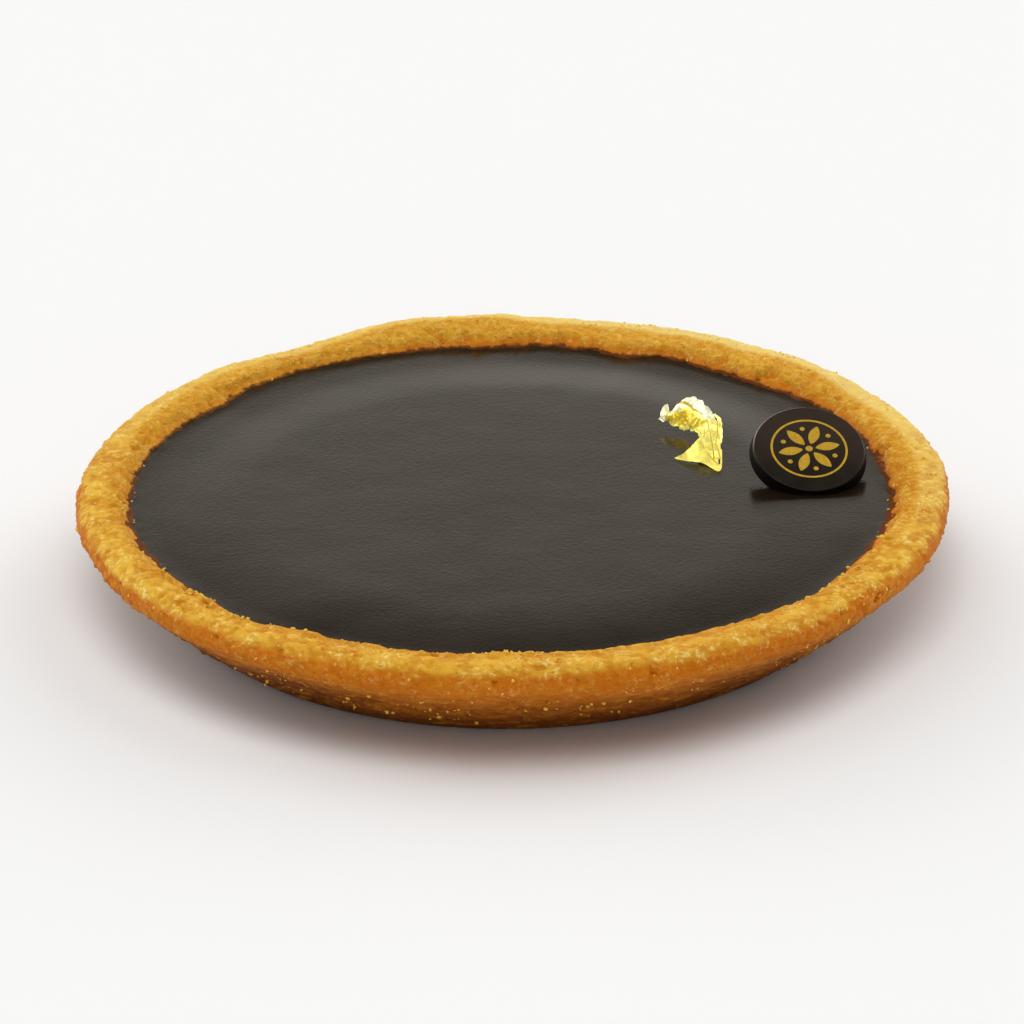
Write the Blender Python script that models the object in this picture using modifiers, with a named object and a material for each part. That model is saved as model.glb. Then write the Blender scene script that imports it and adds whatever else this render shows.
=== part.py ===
"""Round chocolate tart: a shallow shortcrust shell with a thick rim, filled with set ganache.

A chocolate disc is pressed at a slant into the ganache near the rim, and a crumpled flake of
gold leaf stands beside it. Metres, +Z up, origin at the middle of the flat underside.
"""

import math

import bmesh
import bpy
from mathutils import Matrix, Vector

MM = 0.001

# ---- driving dimensions ----------------------------------------------------------------------
TART_RADIUS = 50.0 * MM  # widest point of the rim
TART_HEIGHT = 12.8 * MM  # mean height of the rim's top
BASE_RADIUS = 38.3 * MM  # where the leaning wall meets the flat underside
FILL_RADIUS = 43.1 * MM  # inner face of the wall, at the level of the filling
FILL_LEVEL = 11.3 * MM  # flat middle of the ganache
FLOOR_THICKNESS = 3.2 * MM  # pastry under the filling
GAP = 0.3 * MM  # room that touching pieces keep

# ---- rounding of the pastry's section ---------------------------------------------------------
BASE_CORNER = 1.2 * MM
SHOULDER = 2.0 * MM  # outer edge of the rim
CREST_CORNER = 1.3 * MM  # inner edge of the rim
FLOOR_CORNER = 2.5 * MM  # inside, between floor and wall

# ---- surface of the ganache, by distance from its edge ----------------------------------------
EDGE_CLIMB = 0.10 * MM  # how far it creeps up the pastry
MOAT_DEPTH = 0.28 * MM  # shallow dip that runs round inside the edge
MOAT_INSET = 3.4 * MM
FLAT_INSET = 9.5 * MM

# ---- hand-shaped unevenness of the rim --------------------------------------------------------
# Each wave goes round the whole rim: (number of waves, size, direction of its first peak in degrees).
OUTWARD_WAVES = ((5, 0.08 * MM, 10), (9, 0.09 * MM, 20), (14, 0.07 * MM, 5))
INWARD_WAVES = ((1, 0.60 * MM, 65),)
CREST_WAVES = ((4, 0.06 * MM, 20), (7, 0.08 * MM, 45), (11, 0.07 * MM, 10), (17, 0.05 * MM, 4))
# Each swell is one thumb mark or thick place: (direction and spread in degrees, size).
OUTWARD_SWELLS = (
    (6, 22, 0.4 * MM),
    (44, 8, 0.3 * MM),
    (130, 16, -0.4 * MM),
)
INWARD_SWELLS = (
    (22, 8, -0.5 * MM),
    (50, 8, 0.9 * MM),
    (72, 5, 1.3 * MM),
    (93, 7, 0.7 * MM),
    (126, 9, -0.4 * MM),
    (144, 6, 0.5 * MM),
    (196, 12, -0.4 * MM),
    (230, 7, -0.8 * MM),
    (242, 5, 0.6 * MM),
    (271, 5, 0.5 * MM),
    (318, 10, -0.8 * MM),
    (349, 13, -0.6 * MM),
)
CREST_SWELLS = (
    (15, 9, 0.2 * MM),
    (40, 6, 0.3 * MM),
    (60, 6, 0.3 * MM),
    (99, 11, 0.5 * MM),
    (122, 9, -0.2 * MM),
    (212, 10, 0.2 * MM),
    (283, 6, -0.2 * MM),
)

# ---- chocolate disc ---------------------------------------------------------------------------
DISC_RADIUS = 6.8 * MM
DISC_THICKNESS = 1.6 * MM
DISC_BEVEL = 0.45 * MM
DISC_TILT = math.radians(24)  # its back edge stands up
DISC_ROLL = math.radians(5)  # its right side dips
DISC_FACE_CENTRE = Vector((34.3, 4.3, 14.35)) * MM

# ---- gold leaf --------------------------------------------------------------------------------
LEAF_THICKNESS = 0.3 * MM
LEAF_CORNER = Vector((17.0, 4.2, FILL_LEVEL / MM)) * MM
# Ribs across the crumpled strip, in millimetres from its corner: inner end, then outer end. They
# run from the low flap at the front, round the fold on the right, to the curled tip at the back.
LEAF_RIBS = (
    ((2.0, 4.2, 0.5), (2.2, 3.8, 0.5)),
    ((3.4, 4.7, 1.1), (3.6, 3.1, 0.5)),
    ((4.8, 6.9, 1.6), (5.3, 2.5, 0.5)),
    ((5.1, 7.6, 1.6), (7.2, 0.5, 0.5)),
    ((5.1, 8.4, 1.5), (7.5, 4.6, 1.8)),
    ((5.0, 9.2, 1.3), (7.6, 9.0, 3.0)),
    ((4.4, 10.0, 1.0), (6.5, 10.8, 3.5)),
    ((3.7, 11.1, 0.7), (5.4, 12.9, 4.0)),
    ((2.9, 11.8, 0.6), (4.2, 14.1, 3.9)),
    ((2.1, 12.0, 0.7), (2.8, 14.4, 3.0)),
    ((1.4, 12.8, 1.1), (1.8, 13.7, 2.2)),
    ((0.7, 12.9, 1.2), (1.4, 14.6, 2.7)),
    ((0.2, 13.2, 1.4), (0.7, 13.7, 2.2)),
)
LEAF_PLEATS = 7
LEAF_PLEAT_DEPTH = 0.15 * MM

# ---- fineness of the faces --------------------------------------------------------------------
TURN_STEPS = 96
DISC_SIDES = 72
LEAF_STEPS = 36
LEAF_ROWS = 6


def clear_scene():
    for obj in list(bpy.data.objects):
        bpy.data.objects.remove(obj)


def new_collection(name):
    collection = bpy.data.collections.new(name)
    bpy.context.scene.collection.children.link(collection)
    return collection


def new_material(name, colour, roughness, metallic=0.0):
    material = bpy.data.materials.new(name)
    material.use_nodes = True
    shader = material.node_tree.nodes["Principled BSDF"]
    shader.inputs["Base Color"].default_value = (*colour, 1.0)
    shader.inputs["Roughness"].default_value = roughness
    shader.inputs["Metallic"].default_value = metallic
    material.diffuse_color = (*colour, 1.0)
    return material


def add_mesh_object(name, mesh, collection, material=None):
    obj = bpy.data.objects.new(name, mesh)
    collection.objects.link(obj)
    if material:
        mesh.materials.clear()
        mesh.materials.append(material)
    return obj


def finish_shading(obj, sharp_degrees):
    obj.data.shade_smooth()
    obj.data.set_sharp_from_angle(angle=math.radians(sharp_degrees))


# ---- sections: lists of (radius, height) -------------------------------------------------------
def arc(centre, radius, start, end, count):
    """Points round a centre, from one angle to another, both in radians."""
    angles = [start + (end - start) * i / (count - 1) for i in range(count)]
    return [(centre[0] + radius * math.cos(a), centre[1] + radius * math.sin(a)) for a in angles]


def blend(share):
    """0 below 0, 1 above 1, and a smooth step between."""
    share = min(1.0, max(0.0, share))
    return share * share * (3 - 2 * share)


BASE_CENTRE = (BASE_RADIUS - BASE_CORNER * 0.4, BASE_CORNER)
SHOULDER_CENTRE = (TART_RADIUS - SHOULDER, TART_HEIGHT - SHOULDER)


def wall_normal_angle():
    """Direction in which the outer wall faces: the line that touches the base corner and the shoulder."""
    run = SHOULDER_CENTRE[0] - BASE_CENTRE[0]
    rise = SHOULDER_CENTRE[1] - BASE_CENTRE[1]
    return math.atan2(rise, run) - math.acos((BASE_CORNER - SHOULDER) / math.hypot(run, rise))


WALL_FACING = wall_normal_angle()
WALL_LEAN = WALL_FACING + math.pi / 2  # rise of the wall above the level


def on_inner_wall(height, inset):
    """Radius of the inner wall's face at a height, moved into the filling by inset."""
    along = (height - FILL_LEVEL) / math.tan(WALL_LEAN)
    return FILL_RADIUS + along - inset / math.sin(WALL_LEAN)


def floor_corner_centre():
    height = FLOOR_THICKNESS + FLOOR_CORNER
    return (on_inner_wall(height, FLOOR_CORNER), height)


def crust_section():
    """From the middle of the inner floor, up the inside, over the rim and down to the underside."""
    crest_height = TART_HEIGHT - CREST_CORNER
    crest_centre = (on_inner_wall(crest_height, -CREST_CORNER), crest_height)
    section = [(0.0, FLOOR_THICKNESS), (0.6 * FILL_RADIUS, FLOOR_THICKNESS)]
    section += arc(floor_corner_centre(), FLOOR_CORNER, -math.pi / 2, WALL_FACING, 4)
    section += [(on_inner_wall(FILL_LEVEL, 0.0), FILL_LEVEL)]
    section += arc(crest_centre, CREST_CORNER, WALL_LEAN + math.pi / 2, math.pi / 2, 5)
    section += arc(SHOULDER_CENTRE, SHOULDER, math.pi / 2, WALL_FACING, 7)
    section += arc(BASE_CENTRE, BASE_CORNER, WALL_FACING, -math.pi / 2, 4)
    return section + [(0.0, 0.0)]


def ganache_rise(inset):
    """Height of the ganache above its flat middle, at a distance from its edge."""
    into_moat = blend(inset / MOAT_INSET)
    out_of_moat = blend((inset - MOAT_INSET) / (FLAT_INSET - MOAT_INSET))
    return EDGE_CLIMB * (1 - into_moat) - MOAT_DEPTH * into_moat * (1 - out_of_moat)


def ganache_section():
    """From the middle of the top, out to the edge, then down the wall and along the floor."""
    edge_height = FILL_LEVEL + EDGE_CLIMB
    edge_radius = on_inner_wall(edge_height, GAP)
    insets = [FLAT_INSET + i * (MOAT_INSET - FLAT_INSET) / 5 for i in range(6)]
    insets += [MOAT_INSET * share for share in (0.66, 0.33)]
    section = [(0.0, FILL_LEVEL), (0.5 * edge_radius, FILL_LEVEL)]
    section += [(edge_radius - inset, FILL_LEVEL + ganache_rise(inset)) for inset in insets]
    section += [(edge_radius, edge_height)]
    section += arc(floor_corner_centre(), FLOOR_CORNER - GAP, WALL_FACING, -math.pi / 2, 4)
    return section + [(0.0, FLOOR_THICKNESS + GAP)]


# ---- unevenness: one smooth push of space, so that crust and filling keep fitting ---------------
def waves_at(waves, angle):
    return sum(size * math.cos(count * (angle - math.radians(peak))) for count, size, peak in waves)


def swells_at(swells, angle):
    total = 0.0
    for direction, spread, size in swells:
        away = (math.degrees(angle) - direction + 180) % 360 - 180
        total += size * math.exp(-((away / spread) ** 2))
    return total


def uneven(point):
    """Where the hand-pressed rim really has a point of the true turned shape."""
    radius = math.hypot(point.x, point.y)
    if radius < 1e-6:
        return point.copy()
    angle = math.atan2(point.y, point.x)
    up = blend(point.z / TART_HEIGHT)
    outside = blend((radius - 0.92 * TART_RADIUS) / (0.08 * TART_RADIUS))
    inside = (1 - blend((radius - 0.88 * TART_RADIUS) / (0.10 * TART_RADIUS))) * blend(radius / FILL_RADIUS)
    on_crest = blend((radius - 0.88 * TART_RADIUS) / (0.06 * TART_RADIUS)) * blend(point.z / TART_HEIGHT * 2 - 1)
    inward = waves_at(INWARD_WAVES, angle) + swells_at(INWARD_SWELLS, angle)
    outward = waves_at(OUTWARD_WAVES, angle) + swells_at(OUTWARD_SWELLS, angle)
    push = up * (outside * outward - inside * inward)
    lift = on_crest * (waves_at(CREST_WAVES, angle) + swells_at(CREST_SWELLS, angle))
    stretch = (radius + push) / radius
    return Vector((point.x * stretch, point.y * stretch, point.z + lift))


# ---- pieces -------------------------------------------------------------------------------------
def turned(name, section, collection, material):
    """Turns a section round Z with a Screw modifier, makes it real and presses it uneven."""
    profile = bpy.data.meshes.new(name + "_section")
    edges = [(i, i + 1) for i in range(len(section) - 1)]
    profile.from_pydata([(radius, 0.0, height) for radius, height in section], edges, [])
    guide = add_mesh_object(name + "_guide", profile, collection)
    screw = guide.modifiers.new("turn", "SCREW")
    screw.steps = screw.render_steps = TURN_STEPS
    screw.use_merge_vertices = True
    screw.merge_threshold = 0.00001
    bpy.context.view_layer.update()
    graph = bpy.context.evaluated_depsgraph_get()
    mesh = bpy.data.meshes.new_from_object(guide.evaluated_get(graph))
    bpy.data.objects.remove(guide)
    for vertex in mesh.vertices:
        vertex.co = uneven(vertex.co)
    piece = add_mesh_object(name, mesh, collection, material)
    finish_shading(piece, 50)
    return piece


def disc_turn():
    """Turn of the disc: its axis leans towards the front and a little to the right."""
    return Matrix.Rotation(DISC_ROLL, 4, "Y") @ Matrix.Rotation(DISC_TILT, 4, "X")


def add_cylinder(name, radius, depth, middle_below_face):
    """A cylinder in the disc's slant, its middle this far below the disc's face."""
    bpy.ops.mesh.primitive_cylinder_add(vertices=DISC_SIDES, radius=radius, depth=depth)
    cylinder = bpy.context.active_object
    cylinder.name = name
    turn = disc_turn()
    cylinder.matrix_world = Matrix.Translation(DISC_FACE_CENTRE - turn.col[2].xyz * middle_below_face) @ turn
    return cylinder


def move_to(obj, collection):
    for owner in list(obj.users_collection):
        owner.objects.unlink(obj)
    collection.objects.link(obj)


def make_disc(collection, material):
    disc = add_cylinder("chocolate_disc", DISC_RADIUS, DISC_THICKNESS, DISC_THICKNESS / 2)
    move_to(disc, collection)
    bevel = disc.modifiers.new("rounded_edge", "BEVEL")
    bevel.width = DISC_BEVEL
    bevel.segments = 3
    bevel.limit_method = "ANGLE"
    disc.data.materials.append(material)
    finish_shading(disc, 30)
    return disc


def press_disc_into(ganache, cutters):
    """Cuts the disc's seat into the filling, with room all round it."""
    depth = DISC_THICKNESS + 2 * GAP
    seat = add_cylinder("disc_seat", DISC_RADIUS + GAP, depth, DISC_THICKNESS / 2)
    move_to(seat, cutters)
    seat.hide_render = True
    seat.display_type = "WIRE"
    cut = ganache.modifiers.new("disc_seat", "BOOLEAN")
    cut.operation = "DIFFERENCE"
    cut.solver = "EXACT"
    cut.object = seat


def between_ribs(share):
    """Inner and outer end of the rib at a share of the way along, on smooth curves through the ends."""
    place = share * (len(LEAF_RIBS) - 1)
    start = min(int(place), len(LEAF_RIBS) - 2)
    t = place - start
    picked = [LEAF_RIBS[min(max(start + i, 0), len(LEAF_RIBS) - 1)] for i in (-1, 0, 1, 2)]
    ends = []
    for k in (0, 1):
        a, b, c, d = (Vector(rib[k]) * MM for rib in picked)
        ends.append(b + 0.5 * t * ((c - a) + t * ((2 * a - 5 * b + 4 * c - d) + t * (3 * b - a - 3 * c + d))))
    return ends


def make_leaf(collection, material):
    """A grid bent over the ribs, pleated along its length and given its thickness."""
    bpy.ops.mesh.primitive_grid_add(x_subdivisions=LEAF_STEPS, y_subdivisions=LEAF_ROWS, size=2)
    leaf = bpy.context.active_object
    leaf.name = "gold_leaf"
    move_to(leaf, collection)
    sheet = bmesh.new()
    sheet.from_mesh(leaf.data)
    for vertex in sheet.verts:
        share, across = (vertex.co.x + 1) / 2, (vertex.co.y + 1) / 2
        inner, outer = between_ribs(share)
        pleat = LEAF_PLEAT_DEPTH * math.sin(LEAF_PLEATS * math.pi * share) * math.sin(math.pi * across)
        vertex.co = LEAF_CORNER + inner.lerp(outer, across) + Vector((0.0, -pleat, pleat))
    bmesh.ops.recalc_face_normals(sheet, faces=sheet.faces)
    sheet.to_mesh(leaf.data)
    sheet.free()
    skin = leaf.modifiers.new("thickness", "SOLIDIFY")
    skin.thickness = LEAF_THICKNESS
    skin.offset = 0.0
    leaf.data.materials.append(material)
    leaf.data.shade_smooth()
    return leaf


def main():
    clear_scene()
    tart = new_collection("chocolate_tart")
    cutters = new_collection("cutters")
    pastry = new_material("baked_pastry", (0.66, 0.36, 0.09), 0.6)
    filling = new_material("ganache", (0.030, 0.018, 0.012), 0.25)
    chocolate = new_material("dark_chocolate", (0.022, 0.014, 0.010), 0.3)
    gold = new_material("gold_leaf", (0.95, 0.72, 0.20), 0.2, metallic=1.0)
    turned("crust", crust_section(), tart, pastry)
    ganache = turned("ganache", ganache_section(), tart, filling)
    make_disc(tart, chocolate)
    press_disc_into(ganache, cutters)
    make_leaf(tart, gold)


main()
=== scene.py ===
"""Dresses a round chocolate tart: shortcrust shell, grains and crumbs, ganache, chocolate disc,
gold leaf and a plain stage. Metres, +Z up, origin at the middle of the flat underside.
"""

import math

import bmesh
import bpy
from bpy.props import FloatProperty, FloatVectorProperty, IntProperty, PointerProperty
from mathutils import Matrix, Vector, noise


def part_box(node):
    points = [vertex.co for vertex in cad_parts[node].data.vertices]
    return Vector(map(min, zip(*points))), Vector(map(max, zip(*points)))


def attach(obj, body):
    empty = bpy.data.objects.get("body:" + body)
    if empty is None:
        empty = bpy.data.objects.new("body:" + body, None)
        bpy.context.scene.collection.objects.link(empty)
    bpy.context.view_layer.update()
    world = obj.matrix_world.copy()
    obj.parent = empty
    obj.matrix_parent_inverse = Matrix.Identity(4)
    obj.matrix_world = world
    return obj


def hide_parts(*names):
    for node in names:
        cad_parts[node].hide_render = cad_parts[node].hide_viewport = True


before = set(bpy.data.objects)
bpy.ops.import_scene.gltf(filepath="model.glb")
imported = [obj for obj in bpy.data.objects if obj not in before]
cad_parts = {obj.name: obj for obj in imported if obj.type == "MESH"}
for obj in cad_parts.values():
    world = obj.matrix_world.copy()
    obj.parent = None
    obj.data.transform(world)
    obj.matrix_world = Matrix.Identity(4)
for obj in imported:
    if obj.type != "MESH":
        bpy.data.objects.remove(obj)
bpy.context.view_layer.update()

bl_info = {
    "name": "Chocolate Tart",
    "version": (1, 0, 0),
    "blender": (4, 5, 0),
    "location": "3D View > Sidebar > Tart",
    "description": "Makes the crust, grains, ganache, chocolate disc, gold leaf and stage of a tart",
    "category": "Object",
}

MM = 0.001

# ---- the tart's own shape, as its solids have it
TART_RADIUS = 50.0 * MM
TART_HEIGHT = 12.8 * MM
BASE_RADIUS = 38.3 * MM
FILL_RADIUS = 43.1 * MM
FILL_LEVEL = 11.3 * MM
FLOOR_THICKNESS = 3.2 * MM
GAP = 0.3 * MM
BASE_CORNER = 1.2 * MM
SHOULDER = 2.0 * MM
CREST_CORNER = 1.3 * MM
FLOOR_CORNER = 2.5 * MM
EDGE_RISE = -0.20 * MM
CROWN = 0.36 * MM
CROWN_INSET = 13.0 * MM
MOAT_DEPTH = 0.11 * MM
MOAT_INSET = 5.5 * MM
LIP_RISE = 0.05 * MM
LIP_INSET = 2.2 * MM
# Where the outer side and the inner slope of the pastry begin and are full: radii that follow the
# lean of the wall down to the height of the underside.
SIDE_ZONE = (33.0 * MM, 35.5 * MM)
INNER_ZONE = (32.2 * MM, 30.8 * MM)

# Waves round the whole rim: (number of waves, size in millimetres, degrees of the first peak).
OUTWARD_WAVES = ((5, 0.08, 10), (9, 0.09, 20), (14, 0.07, 5))
INWARD_WAVES = ((1, 0.60, 65),)
CREST_WAVES = ((4, 0.06, 20), (7, 0.08, 45), (11, 0.07, 10), (17, 0.05, 4))
# Thumb marks and thick places: (direction and spread in degrees, size in millimetres).
OUTWARD_SWELLS = ((6, 22, 0.4), (44, 8, 0.3), (130, 16, -0.4))
INWARD_SWELLS = (
    (22, 8, -0.5), (50, 8, 0.9), (72, 5, 1.3), (93, 7, 0.7),
    (126, 9, -0.4), (144, 6, 0.5), (196, 12, -0.4), (230, 7, -0.8),
    (242, 5, 0.6), (271, 5, 0.5), (318, 10, -0.8), (349, 13, -0.6),
)
CREST_SWELLS = (
    (15, 9, 0.2), (40, 6, 0.3), (60, 6, 0.3), (99, 11, 0.5),
    (122, 9, -0.2), (212, 10, 0.2), (283, 6, -0.2),
)

DISC_RADIUS = 6.8 * MM
DISC_THICKNESS = 1.6 * MM
DISC_EDGE = 0.18 * MM
DISC_DRAFT = 0.32 * MM
DISC_SHIFT = Vector((0.13, 0.0, 0.22)) * MM
DISC_TILT = math.radians(24)
DISC_ROLL = math.radians(5)

LEAF_CORNER = Vector((17.0, 4.2, 11.3)) * MM
# Ribs across the leaf, in millimetres from its corner: inner end, then outer end.
LEAF_RIBS = (
    ((2.0, 4.5, 0.35), (2.2, 4.2, 0.3)),
    ((3.3, 4.6, 1.1), (3.6, 3.5, 0.3)),
    ((4.6, 5.8, 2.0), (5.3, 2.9, 0.3)),
    ((4.9, 5.9, 2.4), (7.2, 0.8, 0.3)),
    ((4.8, 7.0, 2.1), (7.5, 4.2, 2.0)),
    ((4.8, 8.2, 1.7), (7.6, 8.4, 3.3)),
    ((4.3, 9.7, 1.1), (6.5, 10.8, 3.5)),
    ((3.7, 11.1, 0.7), (5.4, 13.1, 3.9)),
    ((2.9, 11.8, 0.6), (4.2, 14.3, 3.8)),
    ((2.1, 12.0, 0.7), (2.8, 14.5, 3.0)),
    ((1.4, 12.8, 1.1), (1.8, 13.7, 2.2)),
    ((0.7, 12.9, 1.2), (1.4, 14.7, 2.8)),
    ((0.2, 13.2, 1.4), (0.75, 14.1, 2.4)),
)


# ---- sizes and colours that a user would change
def number(name, description, default, **limits):
    return FloatProperty(name=name, description=description, default=default, **limits)


def length(name, description, default):
    return number(name, description, default, unit="LENGTH", precision=5)


def counted(name, description, default, least=0):
    return IntProperty(name=name, description=description, default=default, min=least)


def colour(name, part, default):
    limits = {"subtype": "COLOR", "size": 3, "min": 0.0, "max": 1.0}
    return FloatVectorProperty(name=name, description="Colour of " + part, default=default, **limits)


class TartCrustSettings(bpy.types.PropertyGroup):
    steps: counted("Steps", "Steps round the rim", 880, 96)
    spacing: length("Spacing", "Distance between the rows of the visible pastry", 0.38 * MM)
    lumps: length("Lumps", "Depth of the hand-pressed lumps", 0.46 * MM)
    crumb: length("Crumb", "Depth of the crumbly surface", 0.25 * MM)
    chips: length("Chips", "Depth of the chips along the inner edge", 0.90 * MM)
    golden: colour("Golden", "the rim", (0.88, 0.53, 0.050))
    # Toasted also paints shade in the hollows of the pastry.
    toasted_and_shade: colour("Toasted", "the darker patches", (0.60, 0.22, 0.006))
    orange: colour("Orange", "the shoulder below the rim", (0.61, 0.150, 0.0015))
    # Browned also paints shade on the flanks and low on the side.
    browned_and_shaded: colour("Browned", "the side near the base", (0.15, 0.033, 0.001))
    # Pale also paints light on the back and the right of the rim.
    pale: colour("Pale", "the flecks of sugar and flour", (0.95, 0.76, 0.26))
    soaked: colour("Soaked", "pastry that ganache has stained", (0.090, 0.017, 0.003))


class TartGrainSettings(bpy.types.PropertyGroup):
    grains: number("Grains", "Grains on each square metre", 520000.0)
    grain_size: length("Grain size", "Mean radius of a grain", 0.17 * MM)
    crumbs: number("Crumbs", "Crumbs on each square metre", 90000.0)
    crumb_size: length("Crumb size", "Mean radius of a crumb", 0.27 * MM)
    pale: colour("Pale", "the grains", (0.82, 0.50, 0.14))
    seed: counted("Seed", "Seed of the scatter", 7)


class TartGanacheSettings(bpy.types.PropertyGroup):
    steps: counted("Steps", "Steps round the filling", 420, 96)
    spacing: length("Spacing", "Distance between the rings of the top", 0.55 * MM)
    ripple: length("Ripple", "Depth of the slow unevenness of the top", 0.07 * MM)
    ragged: length("Ragged", "Depth of the unevenness where the top meets the pastry", 0.10 * MM)
    dark: colour("Colour", "the ganache", (0.010, 0.006, 0.003))
    roughness: number("Roughness", "Roughness of the set surface", 0.13, min=0.0, max=1.0)


class TartDiscSettings(bpy.types.PropertyGroup):
    steps: counted("Steps", "Steps round the disc", 160, 48)
    dark: colour("Colour", "the chocolate", (0.011, 0.0085, 0.0055))
    # Painted light: this lighter colour is laid over the upper part of the face.
    painted_face_light: colour("Face light", "the faint cocoa bloom on the face", (0.042, 0.030, 0.021))
    # Painted shade: the side's colour is far darker than the face's.
    side: colour("Side", "the chocolate's matt side", (0.0035, 0.0018, 0.0012))
    # Painted highlight along the rounded edge at the upper left.
    painted_edge_highlight: colour("Edge highlight", "the rubbed edge at the far left", (0.50, 0.40, 0.37))
    mark: colour("Mark", "the printed ornament", (0.56, 0.33, 0.003))
    petals: counted("Petals", "Petals of the ornament", 6, 3)


class TartLeafSettings(bpy.types.PropertyGroup):
    steps: counted("Steps", "Steps along the leaf", 300, 36)
    rows: counted("Rows", "Rows across the leaf", 70, 6)
    thickness: length("Thickness", "Thickness of the foil", 0.03 * MM)
    crumple: length("Crumple", "Depth of the creases", 0.50 * MM)
    # Painted highlight: the near-white gold on the open parts of the leaf.
    bright: colour("Bright", "the gold where it lies open", (1.0, 0.98, 0.72))
    gold: colour("Gold", "the smooth gold", (1.0, 0.94, 0.22))
    # Painted shade in the folds and along a band, and darker gold at random.
    deep_and_shaded: colour("Deep", "worn and folded gold", (0.86, 0.58, 0.010))


class TartStageSettings(bpy.types.PropertyGroup):
    floor: colour("Floor", "the floor", (0.895, 0.905, 0.925))
    sky: number("Light", "Brightness of all the light", 0.985)
    ambient: number("Ambient", "Brightness between the soft boxes", 0.27)


SETTINGS = {
    "tart_crust": TartCrustSettings,
    "tart_grains": TartGrainSettings,
    "tart_ganache": TartGanacheSettings,
    "tart_disc": TartDiscSettings,
    "tart_leaf": TartLeafSettings,
    "tart_stage": TartStageSettings,
}


# ---- nodes
def operation(kind, swapped=False):
    """A method that adds this Math node; swapped puts the number last, as in 1 - mask."""

    def method(self, *others):
        return self.math(kind, *(others + (self,) if swapped else (self,) + others))

    return method


class Number:
    """A number socket that plain arithmetic can use: each operation adds its Math node."""

    def __init__(self, nodes, socket):
        self.nodes, self.socket = nodes, socket

    def math(self, kind, *values):
        return self.nodes.number("ShaderNodeMath", dict(enumerate(values)), operation=kind)

    def __neg__(self):
        return self * -1.0

    __add__ = __radd__ = operation("ADD")
    __mul__ = __rmul__ = operation("MULTIPLY")
    __sub__, __rsub__ = operation("SUBTRACT"), operation("SUBTRACT", True)
    __truediv__, __rtruediv__ = operation("DIVIDE"), operation("DIVIDE", True)
    root, cosine, exponent = operation("SQRT"), operation("COSINE"), operation("EXPONENT")
    larger, smaller, absolute = operation("MAXIMUM"), operation("MINIMUM"), operation("ABSOLUTE")

    def rise(self, start, end):
        """0 before start, 1 after end, and a smooth step between; start may be the larger."""
        inputs = {"Value": self, "From Min": start, "From Max": end}
        return self.nodes.number("ShaderNodeMapRange", inputs, interpolation_type="SMOOTHSTEP")


class Nodes:
    """A node tree, to which nodes are added with the values of their sockets and their settings."""

    def __init__(self, tree):
        self.tree = tree

    def add(self, kind, inputs=None, **settings):
        node = self.tree.nodes.new(kind)
        for name, value in settings.items():
            setattr(node, name, value)
        for key, value in (inputs or {}).items():
            value = getattr(value, "socket", value)
            if isinstance(value, bpy.types.NodeSocket):
                self.tree.links.new(value, node.inputs[key])
            else:
                node.inputs[key].default_value = value
        return node

    def number(self, kind, inputs=None, output=0, **settings):
        return Number(self, self.add(kind, inputs, **settings).outputs[output])

    def parts(self, vector):
        return [Number(self, part) for part in self.add("ShaderNodeSeparateXYZ", {0: vector}).outputs]

    def vector(self, x, y, z):
        return self.add("ShaderNodeCombineXYZ", {0: x, 1: y, 2: z}).outputs[0]

    def measured(self, place):
        """X, Y and Z of a place, and its distance from the tart's axis."""
        x, y, z = self.parts(place)
        return x, y, z, (x * x + y * y).root()

    def noise(self, place, size, detail=2.0, roughness=0.5):
        """Smooth noise from 0 to 1 with features of this size."""
        inputs = {"Vector": place, "Scale": 1 / size, "Detail": detail, "Roughness": roughness}
        return self.number("ShaderNodeTexNoise", inputs)

    def cells(self, place, size):
        """Distance to the nearest of scattered points this far apart."""
        return self.number("ShaderNodeTexVoronoi", {"Vector": place, "Scale": 1 / size})

    def stretched(self, place, x, y, z):
        inputs = {0: place, 1: (x, y, z)}
        return self.add("ShaderNodeVectorMath", inputs, operation="MULTIPLY").outputs[0]

    def scaled(self, vector, size):
        inputs = {0: vector, "Scale": size}
        return self.add("ShaderNodeVectorMath", inputs, operation="SCALE").outputs[0]

    def mixed(self, factor, first, second):
        """A colour between two, each a socket or three numbers."""
        full = [c if isinstance(c, bpy.types.NodeSocket) else (*c, 1.0) for c in (first, second)]
        inputs = {0: factor, 6: full[0], 7: full[1]}
        return self.add("ShaderNodeMix", inputs, data_type="RGBA").outputs[2]


def new_material(name, roughness, **constants):
    """A material whose shader has these constants, its nodes and the place on the object."""
    material = bpy.data.materials.new(name)
    material.use_nodes = True
    shader = material.node_tree.nodes["Principled BSDF"]
    for key, value in {"Roughness": roughness, **constants}.items():
        shader.inputs[key.replace("_", " ")].default_value = value
    nodes = Nodes(material.node_tree)
    return material, nodes, nodes.add("ShaderNodeTexCoord").outputs["Object"]


def feed(material, **sockets):
    """Links what changes over the surface to the material's shader, and returns the material."""
    tree = material.node_tree
    for key, value in sockets.items():
        into = tree.nodes["Principled BSDF"].inputs[key.replace("_", " ")]
        tree.links.new(getattr(value, "socket", value), into)
    return material


def bump(nodes, height, distance, strength):
    inputs = {"Height": height, "Distance": distance, "Strength": strength}
    return nodes.add("ShaderNodeBump", inputs).outputs[0]


# ---- geometry trees
SOCKETS = {
    int: "NodeSocketInt",
    float: "NodeSocketFloat",
    bpy.types.Material: "NodeSocketMaterial",
    bpy.types.Object: "NodeSocketObject",
}


def picked(settings, *names):
    """These settings as values for a tree's inputs of the same names."""
    return {name.capitalize(): getattr(settings, name) for name in names}


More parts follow.
